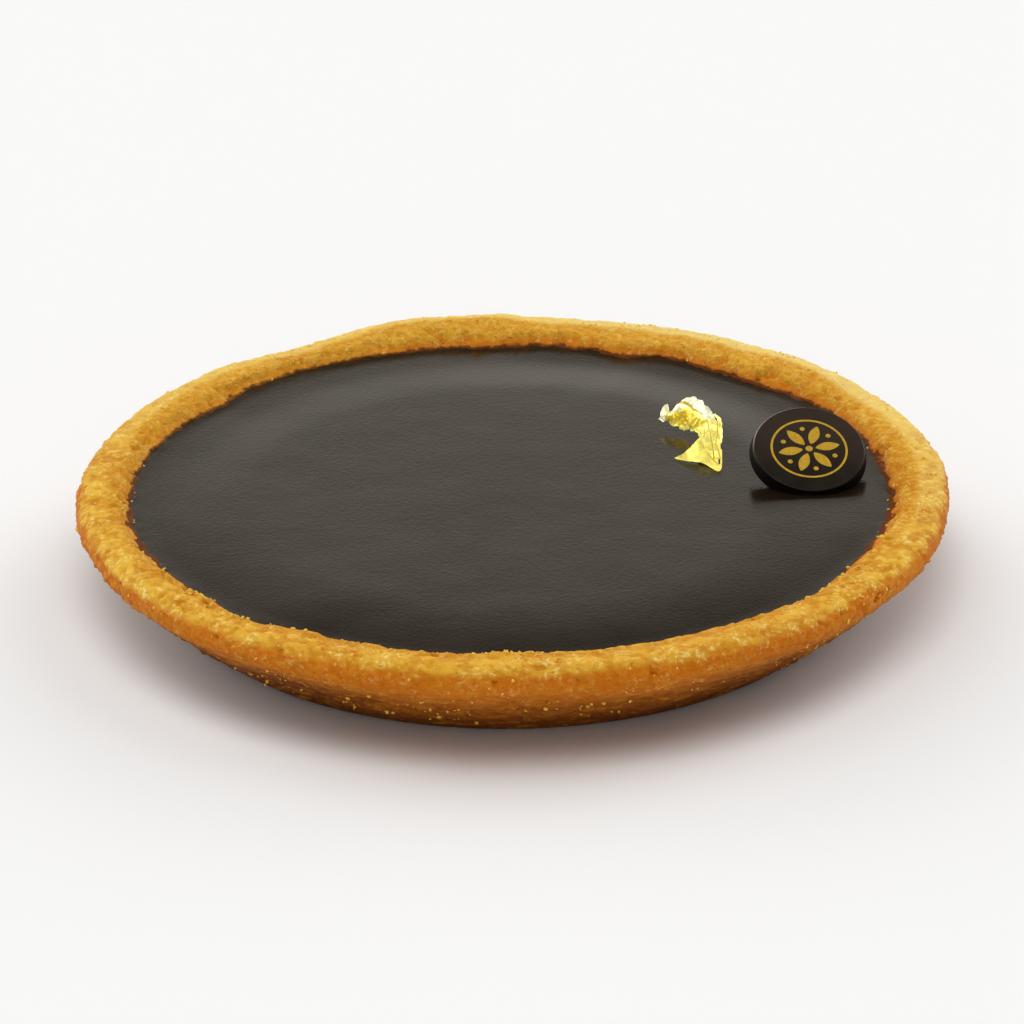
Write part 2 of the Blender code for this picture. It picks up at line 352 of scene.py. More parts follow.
def new_geometry_tree(name, kinds):
    """A tree with these named inputs. Returns its nodes and its input sockets by name."""
    tree = bpy.data.node_groups.new(name, "GeometryNodeTree")
    tree.interface.new_socket(name="Geometry", in_out="INPUT", socket_type="NodeSocketGeometry")
    for label, kind in kinds.items():
        tree.interface.new_socket(name=label, in_out="INPUT", socket_type=SOCKETS[kind])
    tree.interface.new_socket(name="Geometry", in_out="OUTPUT", socket_type="NodeSocketGeometry")
    nodes = Nodes(tree)
    start = nodes.add("NodeGroupInput")
    given = {s.name: Number(nodes, s) for s in start.outputs if s.name}
    return nodes, given


def end_tree(nodes, geometry, material, smooth=True):
    """Ends the tree: sets the shading, realizes the instances and sets the material."""
    inputs = {"Geometry": geometry, "Shade Smooth": smooth}
    geometry = nodes.add("GeometryNodeSetShadeSmooth", inputs).outputs[0]
    geometry = nodes.add("GeometryNodeRealizeInstances", {"Geometry": geometry}).outputs[0]
    geometry = nodes.add("GeometryNodeSetMaterial", {"Geometry": geometry, "Material": material})
    nodes.add("NodeGroupOutput", {0: geometry.outputs[0]})


def run_tree(obj, tree, values):
    """Gives the object the tree's result with these inputs as its plain mesh."""
    modifier = obj.modifiers.new(tree.name, "NODES")
    modifier.node_group = tree
    identifiers = {i.name: i.identifier for i in tree.interface.items_tree if i.in_out == "INPUT"}
    for name, value in values.items():
        modifier[identifiers[name]] = value
    bpy.context.view_layer.update()
    evaluated = obj.evaluated_get(bpy.context.evaluated_depsgraph_get())
    mesh = bpy.data.meshes.new_from_object(evaluated)
    obj.modifiers.remove(modifier)
    obj.data = mesh
    if not mesh.polygons:
        raise RuntimeError(f"{tree.name} made no faces")


def face_outwards(mesh):
    """Merges what coincides and turns every face outwards."""
    shell = bmesh.new()
    shell.from_mesh(mesh)
    bmesh.ops.remove_doubles(shell, verts=shell.verts, dist=1e-6)
    bmesh.ops.recalc_face_normals(shell, faces=shell.faces)
    shell.to_mesh(mesh)
    shell.free()


def add_object(name, data):
    obj = bpy.data.objects.new(name, data)
    bpy.context.scene.collection.objects.link(obj)
    return obj


# ---- sections: lists of (radius, height)
def arc(centre, radius, start, end, count):
    angles = [start + (end - start) * i / (count - 1) for i in range(count)]
    return [(centre[0] + radius * math.cos(a), centre[1] + radius * math.sin(a)) for a in angles]


def blend(value):
    value = min(1.0, max(0.0, value))
    return value * value * (3 - 2 * value)


BASE_CENTRE = (BASE_RADIUS - BASE_CORNER * 0.4, BASE_CORNER)
SHOULDER_CENTRE = (TART_RADIUS - SHOULDER, TART_HEIGHT - SHOULDER)
RUN, RISE = SHOULDER_CENTRE[0] - BASE_CENTRE[0], SHOULDER_CENTRE[1] - BASE_CENTRE[1]
WALL_FACING = math.atan2(RISE, RUN) - math.acos((BASE_CORNER - SHOULDER) / math.hypot(RUN, RISE))
WALL_LEAN = WALL_FACING + math.pi / 2


def on_inner_wall(height, inset):
    """Radius of the inner wall's face at a height, moved into the filling by inset."""
    return FILL_RADIUS + (height - FILL_LEVEL) / math.tan(WALL_LEAN) - inset / math.sin(WALL_LEAN)


CREST_HEIGHT = TART_HEIGHT - CREST_CORNER
CREST_CENTRE = (on_inner_wall(CREST_HEIGHT, -CREST_CORNER), CREST_HEIGHT)
CORNER_HEIGHT = FLOOR_THICKNESS + FLOOR_CORNER
CORNER_CENTRE = (on_inner_wall(CORNER_HEIGHT, FLOOR_CORNER), CORNER_HEIGHT)


def spaced(points, spacing):
    """The same line with points no further apart than spacing."""
    line = [points[0]]
    for (r0, h0), (r1, h1) in zip(points, points[1:]):
        count = max(1, math.ceil(math.hypot(r1 - r0, h1 - h0) / spacing))
        line += [(r0 + (r1 - r0) * i / count, h0 + (h1 - h0) * i / count) for i in range(1, count + 1)]
    return line


def crust_section(spacing):
    """Middle of the inner floor, up the inside, over the rim and down to the underside."""
    hidden = [(0.0, FLOOR_THICKNESS), (0.6 * FILL_RADIUS, FLOOR_THICKNESS)]
    hidden += arc(CORNER_CENTRE, FLOOR_CORNER, -math.pi / 2, WALL_FACING, 5)
    hidden += [(on_inner_wall(FILL_LEVEL - 1.2 * MM, 0.0), FILL_LEVEL - 1.2 * MM)]
    shown = [hidden[-1]]
    shown += arc(CREST_CENTRE, CREST_CORNER, WALL_LEAN + math.pi / 2, math.pi / 2, 9)
    shown += arc(SHOULDER_CENTRE, SHOULDER, math.pi / 2, WALL_FACING, 13)
    shown += arc(BASE_CENTRE, BASE_CORNER, WALL_FACING, -math.pi / 2, 7)
    under = [shown[-1], (0.0, 0.0)]
    coarse = 4.0 * MM
    return spaced(hidden, coarse)[:-1] + spaced(shown, spacing)[:-1] + spaced(under, 2 * coarse)


def ganache_rise(inset):
    """Height of the ganache above its level, at a distance from its edge: flat, then rolling down."""
    near = max(0.0, 1 - inset / CROWN_INSET)
    return EDGE_RISE + CROWN * (1 - near * near)


def ganache_section(spacing):
    """Middle of the top, out into the pastry, then down the wall and along the floor."""
    edge_height = FILL_LEVEL + EDGE_RISE
    edge_radius = on_inner_wall(edge_height, GAP)
    count = round(edge_radius / spacing)
    top = []
    for i in range(count + 1):
        radius = edge_radius * i / count
        top.append((radius, FILL_LEVEL + ganache_rise(edge_radius - radius)))
    tuck = (on_inner_wall(edge_height, -0.6 * MM), edge_height)
    hidden = [tuck, (on_inner_wall(edge_height - 2 * MM, GAP), edge_height - 2 * MM)]
    hidden += arc(CORNER_CENTRE, FLOOR_CORNER - GAP, WALL_FACING, -math.pi / 2, 4)
    hidden += [(0.0, FLOOR_THICKNESS + GAP)]
    return top + spaced([top[-1], tuck], 0.2 * MM)[1:-1] + spaced(hidden, 5 * MM)


def disc_section():
    """Middle of the face, over its rounded edge, down the drafted side and back under."""
    half, inner = DISC_THICKNESS / 2, DISC_RADIUS - DISC_EDGE
    face = [((inner - DISC_DRAFT) * i / 12, half) for i in range(12)]
    over = arc((inner - DISC_DRAFT, half - DISC_EDGE), DISC_EDGE, math.pi / 2, 0.2, 9)
    under = arc((inner, DISC_EDGE - half), DISC_EDGE, 0, -math.pi / 2, 9)
    return face + over + under + [(inner / 2, -half), (0.0, -half)]


# ---- turning a section
def waves_at(waves, angle):
    turns = [(size * MM, count * (angle - math.radians(peak))) for count, size, peak in waves]
    return sum(size * turn.cosine() for size, turn in turns)


def swells_at(swells, angle):
    total = 0.0
    for direction, spread, size in swells:
        away = angle.math("WRAP", angle - math.radians(direction), math.pi, -math.pi)
        away = away / math.radians(spread)
        total = size * MM * (-(away * away)).exponent() + total
    return total


def place_of(nodes):
    return nodes.add("GeometryNodeInputPosition").outputs[0]


def moved_by(nodes, geometry, offset):
    """Moves each point by an offset."""
    inputs = {"Geometry": geometry, "Offset": offset}
    return nodes.add("GeometryNodeSetPosition", inputs).outputs[0]


def uneven(nodes, geometry):
    """Moves the true turned shape to where the hand-pressed rim really has it."""
    x, y, z, radius = nodes.measured(place_of(nodes))
    angle = x.math("ARCTAN2", y, x)
    up = z.rise(0.0, TART_HEIGHT)
    outside = radius.rise(0.92 * TART_RADIUS, TART_RADIUS)
    inside = (1 - radius.rise(0.88 * TART_RADIUS, 0.98 * TART_RADIUS)) * radius.rise(0.0, FILL_RADIUS)
    on_crest = radius.rise(0.88 * TART_RADIUS, 0.94 * TART_RADIUS) * z.rise(TART_HEIGHT / 2, TART_HEIGHT)
    inward = waves_at(INWARD_WAVES, angle) + swells_at(INWARD_SWELLS, angle)
    outward = waves_at(OUTWARD_WAVES, angle) + swells_at(OUTWARD_SWELLS, angle)
    push = up * (outside * outward - inside * inward) / radius.larger(0.1 * MM)
    lift = on_crest * (waves_at(CREST_WAVES, angle) + swells_at(CREST_SWELLS, angle))
    return moved_by(nodes, geometry, nodes.vector(x * push, y * push, lift))


def raised(nodes, geometry, height):
    """Moves each point along its normal by a height."""
    normal = nodes.add("GeometryNodeInputNormal").outputs[0]
    return moved_by(nodes, geometry, nodes.scaled(normal, height))


# Points this close become one, where the turn closes and on the axis.
SEAM = 0.005 * MM


def turned_tree(name, shape, kinds):
    """Sweeps the object's section round a circle, then hands it to shape for its relief."""
    nodes, given = new_geometry_tree(name, {"Steps": int, "Material": bpy.types.Material, **kinds})
    profile = nodes.add("GeometryNodeMeshToCurve", {"Mesh": given["Geometry"]}).outputs[0]
    inputs = {"Resolution": given["Steps"], "Radius": TART_RADIUS}
    circle = nodes.add("GeometryNodeCurvePrimitiveCircle", inputs).outputs[0]
    inputs = {"Curve": circle, "Profile Curve": profile}
    swept = nodes.add("GeometryNodeCurveToMesh", inputs).outputs[0]
    inputs = {"Geometry": swept, "Distance": SEAM}
    closed = nodes.add("GeometryNodeMergeByDistance", inputs).outputs[0]
    end_tree(nodes, shape(nodes, closed, given), given["Material"])
    return nodes.tree


def turned(name, section, tree, values):
    """An object whose mesh is the section turned by the tree."""
    line = bpy.data.meshes.new(name + "_section")
    # The swept circle has its radius outwards along X and its height against Y.
    points = [(radius - TART_RADIUS, -height, 0.0) for radius, height in section]
    line.from_pydata(points, [(i, i + 1) for i in range(len(points) - 1)], [])
    obj = add_object(name, line)
    run_tree(obj, tree, values)
    face_outwards(obj.data)
    return obj


# ---- crust
def crust_shape(nodes, geometry, given):
    """Chips the inner edge, presses the rim uneven and gives the pastry its lumps and crumb."""
    place = place_of(nodes)
    z, radius = nodes.measured(place)[2:]
    inner_edge = radius.rise(on_inner_wall(FILL_LEVEL, 0), CREST_CENTRE[0] - 0.4 * MM)
    inner_edge *= 1 - radius.rise(CREST_CENTRE[0], CREST_CENTRE[0] + 1.2 * MM)
    broken = nodes.noise(place, 1.9 * MM, 2.0, 0.6).rise(0.52, 0.66)
    long_broken = nodes.noise(place, 9 * MM, 1.0).rise(0.38, 0.62)
    chip = inner_edge * broken * long_broken * given["Chips"] * z.rise(0.8 * FILL_LEVEL, FILL_LEVEL)
    geometry = uneven(nodes, moved_by(nodes, geometry, nodes.vector(0.0, 0.0, -chip)))
    shown = z.rise(0.3 * MM, 1.6 * MM) * radius.rise(0.5 * FILL_RADIUS, 0.7 * FILL_RADIUS)
    lumps = nodes.noise(place, 6.5 * MM, 1.0) - 0.5
    pressed = nodes.noise(nodes.stretched(place, 1, 1, 1.6), 2.4 * MM) - 0.5
    coarse = nodes.noise(place, 0.95 * MM, 3.0, 0.65) - 0.5
    pits = nodes.noise(place, 1.5 * MM, 2.0, 0.6).rise(0.34, 0.26)
    clusters = nodes.noise(place, 4.0 * MM, 1.0).rise(0.42, 0.58)
    granules = (0.45 - nodes.cells(place, 1.0 * MM)) * clusters
    relief = pressed * 1.1 + coarse * 1.3 - pits * 0.5 + granules * 0.6
    wavering = (nodes.noise(place, 2.3 * MM) - 0.5) * radius.rise(45.4 * MM, 44.2 * MM)
    inputs = {"Geometry": geometry, "Name": "relief", "Value": relief}
    geometry = nodes.add("GeometryNodeStoreNamedAttribute", inputs).outputs[0]
    outside = (radius - z / math.tan(WALL_LEAN)).rise(*SIDE_ZONE) * z.rise(12.6 * MM, 11.6 * MM)
    crumbly = (coarse - pits + granules * 1.3) * (1 + 0.8 * outside)
    height = (lumps + pressed * 0.9) * given["Lumps"] + crumbly * given["Crumb"]
    height += wavering * (0.9 * MM)
    return raised(nodes, geometry, shown * height)


def pastry_material(settings):
    """Golden shortcrust: toasted patches, a side that darkens towards the base, pale flecks and a soaked
    inner edge, with painted shade in the hollows, on the flanks and low on the side, and painted light
    at the back of the rim.
    """
    material, nodes, place = new_material("baked_pastry", 0.7, Specular_IOR_Level=0.12)
    x, y, z, radius = nodes.measured(place)
    outer = radius - z / math.tan(WALL_LEAN)
    relief = nodes.number("ShaderNodeAttribute", None, "Fac", attribute_name="relief")
    patches = nodes.noise(place, 5.0 * MM, 3.0, 0.6).rise(0.42, 0.62)
    mottle = nodes.noise(place, 0.8 * MM, 3.0, 0.7).rise(0.38, 0.66)
    streaks = nodes.noise(nodes.stretched(place, 0.5, 0.5, 1.7), 1.2 * MM, 4.0, 0.7).rise(0.36, 0.62)
    grazed = nodes.noise(nodes.stretched(place, 0.6, 0.6, 1.5), 1.5 * MM, 4.0, 0.7).rise(0.52, 0.64)
    # Painted shade: the hollows of the relief get the toasted colour.
    hollow_shade = relief.rise(0.12, -0.30)
    far = y.rise(0, 42 * MM)
    side, inside = outer.rise(*SIDE_ZONE), outer.rise(*INNER_ZONE)
    shoulder = side * (z + y.rise(-5 * MM, 40 * MM) * (0.7 * MM)).rise(12.5 * MM, 11.5 * MM)
    # Painted shade: the left and right flanks, the left one most, turn browner and from higher up; the
    # side also darkens towards the base, partly browning and partly painted shade.
    flank = x.absolute().rise(10 * MM, 30 * MM)
    below = side * (z + streaks * (2.2 * MM) - flank * (0.6 * MM)).rise(11.2 * MM, 7.4 * MM)
    browning_and_flank_shade = 0.25 + 0.25 * flank + 0.20 * x.rise(-8 * MM, -24 * MM) + 0.5 * streaks
    low = side * (z + streaks * (2.5 * MM)).rise(8.0 * MM, 1.0 * MM)
    toast_and_hollow_shade = (patches * 0.3 + mottle * 0.2 + hollow_shade * 0.55) * (1 - 0.45 * far)
    # Painted light: the back of the rim and a patch at the right are mixed towards the pale colour, and
    # the back gets less toasted colour.
    painted_rim_light = far * (0.35 + 0.30 * x.rise(-22 * MM, 22 * MM))
    painted_rim_light += x.rise(28 * MM, 42 * MM) * y.rise(-22 * MM, 5 * MM) * 0.2
    darker = y.rise(-20 * MM, -45 * MM) * (0.12 + 0.09 * x.rise(0, 15 * MM))
    stained = z.rise(12.7 * MM, 11.8 * MM) * (0.30 + 0.45 * x.rise(-24 * MM, -4 * MM))
    clustered = nodes.noise(place, 2.6 * MM).rise(0.38, 0.58) * relief.rise(-0.20, 0.10)
    flecks = nodes.noise(place, 0.55 * MM, 3.0, 0.65).rise(0.50, 0.64) * clustered
    specks = nodes.noise(place, 0.5 * MM, 1.0).rise(0.32, 0.25)
    ragged = z + nodes.noise(place, 0.9 * MM) * (0.5 * MM)
    soaked = (ragged + y.rise(0, 30 * MM) * (0.06 * MM)).rise(12.12 * MM, 11.86 * MM)
    layers = (
        (toast_and_hollow_shade, settings.toasted_and_shade),
        ((painted_rim_light * (1 - inside)).smaller(0.75), settings.pale),
        (darker, settings.orange),
        (inside * (0.30 + 0.4 * mottle), settings.toasted_and_shade),
        (inside * stained, settings.orange),
        (shoulder * (1 - 0.40 * mottle), settings.orange),
        (below * browning_and_flank_shade, settings.browned_and_shaded),
        (low * 0.85, settings.browned_and_shaded),
        (side * grazed * (0.50 + 0.15 * below), settings.toasted_and_shade),
        (flecks * (0.85 - 0.58 * shoulder - 0.20 * below - 0.5 * inside), settings.pale),
        (specks * 0.4, settings.browned_and_shaded),
        (soaked * outer.rise(31.9 * MM, 31.4 * MM) * 0.9, settings.soaked),
    )
    tint = settings.golden
    for amount, colour_over in layers:
        tint = nodes.mixed(amount, tint, colour_over)
    crumb = nodes.noise(place, 0.26 * MM, 3.0, 0.65) * 0.7 + nodes.cells(place, 0.5 * MM) * 0.4
    normal = bump(nodes, crumb, 0.28 * MM, 1.0)
    return feed(material, Base_Color=tint, Roughness=0.60 + 0.2 * mottle, Normal=normal)


class TART_OT_crust(bpy.types.Operator):
    """Make the shortcrust shell in place of its plain solid"""

    bl_idname = "tart.crust"
    bl_label = "Make Crust"

    def execute(self, context):
        settings = context.scene.tart_crust
        tree = turned_tree("turned_crust", crust_shape, {"Chips": float, "Lumps": float, "Crumb": float})
        values = picked(settings, "steps", "chips", "lumps", "crumb")
        values["Material"] = pastry_material(settings)
        crust = turned("crust_baked", crust_section(settings.spacing), tree, values)
        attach(crust, "root")
        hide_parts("crust")
        return {"FINISHED"}


# ---- grains and crumbs
def scatter_tree(name):
    """Lays misshapen grains on the pastry, thickest where the noise is high."""
    kinds = {"Crust": bpy.types.Object, "Seed": int, "Material": bpy.types.Material}
    kinds.update(dict.fromkeys(("Density", "Size", "Patch size", "Inner edge"), float))
    nodes, given = new_geometry_tree(name, kinds)
    crust = nodes.add("GeometryNodeObjectInfo", {"Object": given["Crust"]}).outputs["Geometry"]
    place = place_of(nodes)
    y, z, radius = nodes.measured(place)[1:]
    outside = z.rise(0.5 * MM, 2.5 * MM) * (radius - z).rise(30.5 * MM, 32.3 * MM)
    patches = nodes.noise(place, given["Patch size"]).rise(0.46, 0.62)
    edge = 1 + given["Inner edge"] * (radius - z).rise(34 * MM, 32.6 * MM) * y.rise(10 * MM, -20 * MM)
    lower = z.rise(12.0 * MM, 10.0 * MM)
    density = given["Density"] * outside * patches * edge * (1 - 0.55 * lower)
    inputs = {"Mesh": crust, "Density": density, "Seed": given["Seed"]}
    points = nodes.add("GeometryNodeDistributePointsOnFaces", inputs).outputs["Points"]
    ball = nodes.add("GeometryNodeMeshIcoSphere", {"Radius": 1.0, "Subdivisions": 1}).outputs[0]

    def random_vector(low, high, seed):
        inputs = {0: low, 1: high, "Seed": seed}
        return nodes.add("FunctionNodeRandomValue", inputs, data_type="FLOAT_VECTOR").outputs[0]

    turn = random_vector((0.0, 0.0, 0.0), (math.tau, math.tau, math.tau), given["Seed"])
    stretch = random_vector((0.45, 0.45, 0.35), (1.5, 1.2, 0.95), given["Seed"] + 1)
    scale = nodes.scaled(stretch, given["Size"])
    inputs = {"Points": points, "Instance": ball, "Rotation": turn, "Scale": scale}
    grains = nodes.add("GeometryNodeInstanceOnPoints", inputs).outputs[0]
    grains = nodes.add("GeometryNodeRealizeInstances", {"Geometry": grains}).outputs[0]
    dents = nodes.noise(place, 0.5 * MM, 1.0) - 0.5
    grains = raised(nodes, grains, dents * given["Size"] * 1.6)
    end_tree(nodes, grains, given["Material"], smooth=False)
    return nodes.tree


def grain_material(name, pale, golden):
    material, nodes, place = new_material(name, 0.45, Specular_IOR_Level=0.35)
    mottle = nodes.noise(place, 0.8 * MM, 1.0).rise(0.35, 0.65)
    return feed(material, Base_Color=nodes.mixed(mottle, golden, pale))


class TART_OT_grains(bpy.types.Operator):
    """Scatter pale grains and broken crumbs over the pastry"""

    bl_idname = "tart.grains"
    bl_label = "Scatter Grains"

    def execute(self, context):
        settings, pastry = context.scene.tart_grains, context.scene.tart_crust
        crust = bpy.data.objects.get("crust_baked")
        if crust is None:
            raise RuntimeError("make the crust before its grains")
        tree = scatter_tree("scattered_grains")
        sorts = (
            ("pale_grains", settings.grains, settings.grain_size, 5 * MM, 0.0, settings.pale),
            ("broken_crumbs", settings.crumbs, settings.crumb_size, 7 * MM, 6.0, pastry.golden),
        )
        for offset, (name, density, size, patch, edge, tint) in enumerate(sorts):
            grains = add_object(name, bpy.data.meshes.new(name))
            values = {
                "Crust": crust,
                "Density": density,
                "Size": size,
                "Patch size": patch,
                "Inner edge": edge,
                "Seed": settings.seed + 10 * offset,
                "Material": grain_material(name, tint, pastry.golden),
            }
            run_tree(grains, tree, values)
            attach(grains, "root")
        return {"FINISHED"}


# ---- ganache
def disc_matrix():
    """Place and slant of the disc: the middle of its solid, its axis leaning to the front."""
    low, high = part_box("chocolate_disc")
    turn = Matrix.Rotation(DISC_ROLL, 4, "Y") @ Matrix.Rotation(DISC_TILT, 4, "X")
    return Matrix.Translation((low + high) / 2 + DISC_SHIFT) @ turn


def far_lift(x, y, radius):
    """At the back, turns the roll-down of the edge into a shallow moat with a slight lip."""
    inset = FILL_RADIUS - radius
    near = (1 - inset / CROWN_INSET).larger(0.0)
    moat = inset.rise(CROWN_INSET, MOAT_INSET) * (1 - 0.8 * inset.rise(MOAT_INSET, 0.0))
    deepest = 0.8 + 0.7 * x.rise(-12 * MM, 14 * MM)
    shape = CROWN * near * near - MOAT_DEPTH * deepest * moat + LIP_RISE * inset.rise(LIP_INSET, 0.0)
    return y.rise(-22 * MM, 22 * MM) * shape


def ganache_shape(nodes, geometry, given):
    """Follows the uneven rim, ripples slowly, and dives under the disc that was pressed in."""
    geometry = uneven(nodes, geometry)
    place = place_of(nodes)
    x, y, z, radius = nodes.measured(place)
    on_top = z.rise(FILL_LEVEL - 1.2 * MM, FILL_LEVEL - 0.6 * MM)
    ripple = nodes.noise(place, 17 * MM, 1.0) - 0.5 + 0.25 * (nodes.noise(place, 5 * MM, 1.0) - 0.5)
    disc = disc_matrix()
    axis, middle = disc.col[2].xyz, disc.translation
    bottom = middle - axis * (DISC_THICKNESS / 2 + 0.1 * MM)
    under = bottom.z - ((x - bottom.x) * axis.x + (y - bottom.y) * axis.y) / axis.z
    across = (x - middle.x) / math.cos(DISC_ROLL)
    along = (y - middle.y) / math.cos(DISC_TILT)
    distance = (across * across + along * along).root()
    inside = distance.rise(DISC_RADIUS - 0.15 * MM, DISC_RADIUS - 0.6 * MM)
    drop = (under - z).smaller(0.0) * inside
    at_edge = radius.rise(FILL_RADIUS - 0.9 * MM, FILL_RADIUS - 0.1 * MM)
    ragged = (nodes.noise(place, 1.3 * MM, 2.0, 0.6) - 0.5) * at_edge
    relief = ripple * given["Ripple"] + ragged * given["Ragged"] + drop
    lift = on_top * (relief + far_lift(x, y, radius))
    return moved_by(nodes, geometry, nodes.vector(0.0, 0.0, lift))


def ganache_material(settings):
    """Set ganache: near black, half glossy, with a faint grain and a duller margin."""
    warm = (1.0, 0.80, 0.45, 1.0)
    material, nodes, place = new_material("ganache", settings.roughness, IOR=1.50, Specular_Tint=warm)
    cloud = nodes.noise(place, 9 * MM, 3.0, 0.55)
    fine = nodes.noise(place, 0.35 * MM, 2.0, 0.6)
    tint = nodes.mixed(cloud.rise(0.35, 0.65), settings.dark, tuple(c * 1.35 for c in settings.dark))
    grain = nodes.noise(place, 0.45 * MM, 3.0, 0.6)
    margin = nodes.measured(place)[3].rise(FILL_RADIUS - 2.4 * MM, FILL_RADIUS - 0.4 * MM)
    roughness = settings.roughness + 0.08 * (cloud - 0.5) + 0.05 * (fine - 0.5) + 0.15 * margin
    normal = bump(nodes, grain, 0.03 * MM, 0.6)
    return feed(material, Base_Color=tint, Roughness=roughness, Normal=normal)


class TART_OT_ganache(bpy.types.Operator):
    """Pour the ganache into the crust"""

    bl_idname = "tart.ganache"
    bl_label = "Pour Ganache"

    def execute(self, context):
        settings = context.scene.tart_ganache
        tree = turned_tree("turned_ganache", ganache_shape, {"Ripple": float, "Ragged": float})
        values = picked(settings, "steps", "ripple", "ragged")
        values["Material"] = ganache_material(settings)
        ganache = turned("ganache_set", ganache_section(settings.spacing), tree, values)
        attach(ganache, "root")
        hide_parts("ganache")
        return {"FINISHED"}


# ---- disc
def chocolate_material(settings):
    """Dark chocolate: a glossy face painted lighter towards its upper edge, a matt side painted darker
    as shade and a painted highlight along its edge at the upper left.
    """
    material, nodes, place = new_material("dark_chocolate", 0.3, Specular_IOR_Level=0.08)
    cloud = nodes.noise(place, 2.5 * MM, 3.0, 0.55)
    disc = disc_matrix()
    x, y, z = nodes.parts(place)
    axis, middle = disc.col[2].xyz / DISC_THICKNESS, disc.translation
    x, y, z = x - middle.x, y - middle.y, z - middle.z
    # Height along the disc's axis from its middle, as a share of its thickness: 0.5 is the face.
    level = x * axis.x + y * axis.y + z * axis.z
    # Painted light: the face grows lighter towards its upper edge.
    upper = (y / DISC_RADIUS).rise(-0.9, 0.5)
    side = level.rise(0.36, 0.20)
    # Painted highlight: a pale line along the rounded edge at the upper left.
    far_left = (y - x) * (0.75 / DISC_RADIUS)
    painted_edge_highlight = level.rise(0.499, 0.48) * level.rise(0.38, 0.42) * far_left.rise(0.55, 0.85)
    tint = nodes.mixed(cloud.rise(0.35, 0.65), settings.dark, tuple(c * 1.5 for c in settings.dark))
    tint = nodes.mixed(upper * (0.65 + 0.35 * cloud), tint, settings.painted_face_light)
    # Painted shade: the side is coloured far darker than the face.
    tint = nodes.mixed(level.rise(0.48, 0.40), tint, settings.side)
    tint = nodes.mixed(painted_edge_highlight * 0.8, tint, settings.painted_edge_highlight)
    grain = nodes.noise(place, 0.4 * MM, 3.0, 0.55)
    normal = bump(nodes, grain, 0.01 * MM, 0.5)
    return feed(material, Base_Color=tint, Roughness=0.26 + 0.10 * cloud + 0.4 * side, Normal=normal)


def petal(length_of, width, count=18):
    """Outline of a petal that starts at the middle and points along X."""
    upper = []
    for i in range(count + 1):
        t = i / count
        upper.append((length_of * t, width * math.sin(math.pi * t) ** 0.8))
    return upper + [(x, -y) for x, y in reversed(upper[1:-1])]


def round_outline(radius, count, centre=(0.0, 0.0, 0.0)):
    angles = [math.tau * k / count for k in range(count)]
    return [Vector(centre) + radius * Vector((math.cos(a), math.sin(a), 0.0)) for a in angles]


def ornament_mesh(petals):
    """A rosette in a thin ring, as flat faces that lie in the XY plane."""
    shape = bmesh.new()
    start, reach, width = 0.75 * MM, 2.9 * MM, 0.62 * MM
    for k in range(petals):
        turn = Matrix.Rotation(math.tau * (k + 0.25) / petals, 4, "Z")
        outline = [turn @ Vector((start + x, y, 0.0)) for x, y in petal(reach, width)]
        shape.faces.new([shape.verts.new(p) for p in outline])
        dot_turn = Matrix.Rotation(math.tau * (k + 0.75) / petals, 4, "Z")
        dot = round_outline(0.30 * MM, 16, dot_turn @ Vector((3.1 * MM, 0.0, 0.0)))
        shape.faces.new([shape.verts.new(p) for p in dot])
    shape.faces.new([shape.verts.new(p) for p in round_outline(0.42 * MM, 24)])
    steps = 96
    ring = [[shape.verts.new(p) for p in round_outline(r, steps)] for r in (4.22 * MM, 4.48 * MM)]
    for i in range(steps):
        after = (i + 1) % steps
        shape.faces.new((ring[0][i], ring[1][i], ring[1][after], ring[0][after]))
    bmesh.ops.recalc_face_normals(shape, faces=shape.faces)
    for face in shape.faces:
        if face.normal.z < 0:
            face.normal_flip()
    made = bmesh.ops.extrude_face_region(shape, geom=shape.faces[:])
    lifted = [v for v in made["geom"] if isinstance(v, bmesh.types.BMVert)]
    bmesh.ops.translate(shape, verts=lifted, vec=(0, 0, 0.05 * MM))
    bmesh.ops.recalc_face_normals(shape, faces=shape.faces)
    mesh = bpy.data.meshes.new("disc_ornament")
    shape.to_mesh(mesh)
    shape.free()
    return mesh


class TART_OT_disc(bpy.types.Operator):
    """Press the chocolate disc into the ganache at a slant, with its printed ornament"""

    bl_idname = "tart.disc"
    bl_label = "Press Disc"

    def execute(self, context):
        settings = context.scene.tart_disc
        tree = turned_tree("turned_disc", lambda nodes, geometry, given: geometry, {})
        values = {"Steps": settings.steps, "Material": chocolate_material(settings)}
        disc = turned("chocolate_disc_glossy", disc_section(), tree, values)
        disc.data.transform(disc_matrix())
        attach(disc, "root")
        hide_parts("chocolate_disc")
        mark = add_object("disc_ornament", ornament_mesh(settings.petals))
        mark.data.transform(disc_matrix() @ Matrix.Translation((0, 0, DISC_THICKNESS / 2 - 0.02 * MM)))
        material, nodes, place = new_material("printed_mark", 0.4)
        wear = nodes.noise(place, 0.5 * MM).rise(0.3, 0.7)
        tint = nodes.mixed(wear, settings.mark, tuple(0.8 * c for c in settings.mark))
        mark.data.materials.append(feed(material, Base_Color=tint))
        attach(mark, "root")
        return {"FINISHED"}


# ---- gold leaf
def between_ribs(part):
    """Both ends of the rib at a share of the way along, on smooth curves through the ends."""
    place = part * (len(LEAF_RIBS) - 1)
    start = min(int(place), len(LEAF_RIBS) - 2)
    t = place - start
    near = [LEAF_RIBS[min(max(start + i, 0), len(LEAF_RIBS) - 1)] for i in (-1, 0, 1, 2)]
    ends = []
    for k in (0, 1):
        a, b, c, d = (Vector(rib[k]) * MM for rib in near)
        bend = (2 * a - 5 * b + 4 * c - d) + t * (3 * b - a - 3 * c + d)
        ends.append(b + 0.5 * t * ((c - a) + t * bend))
    return ends


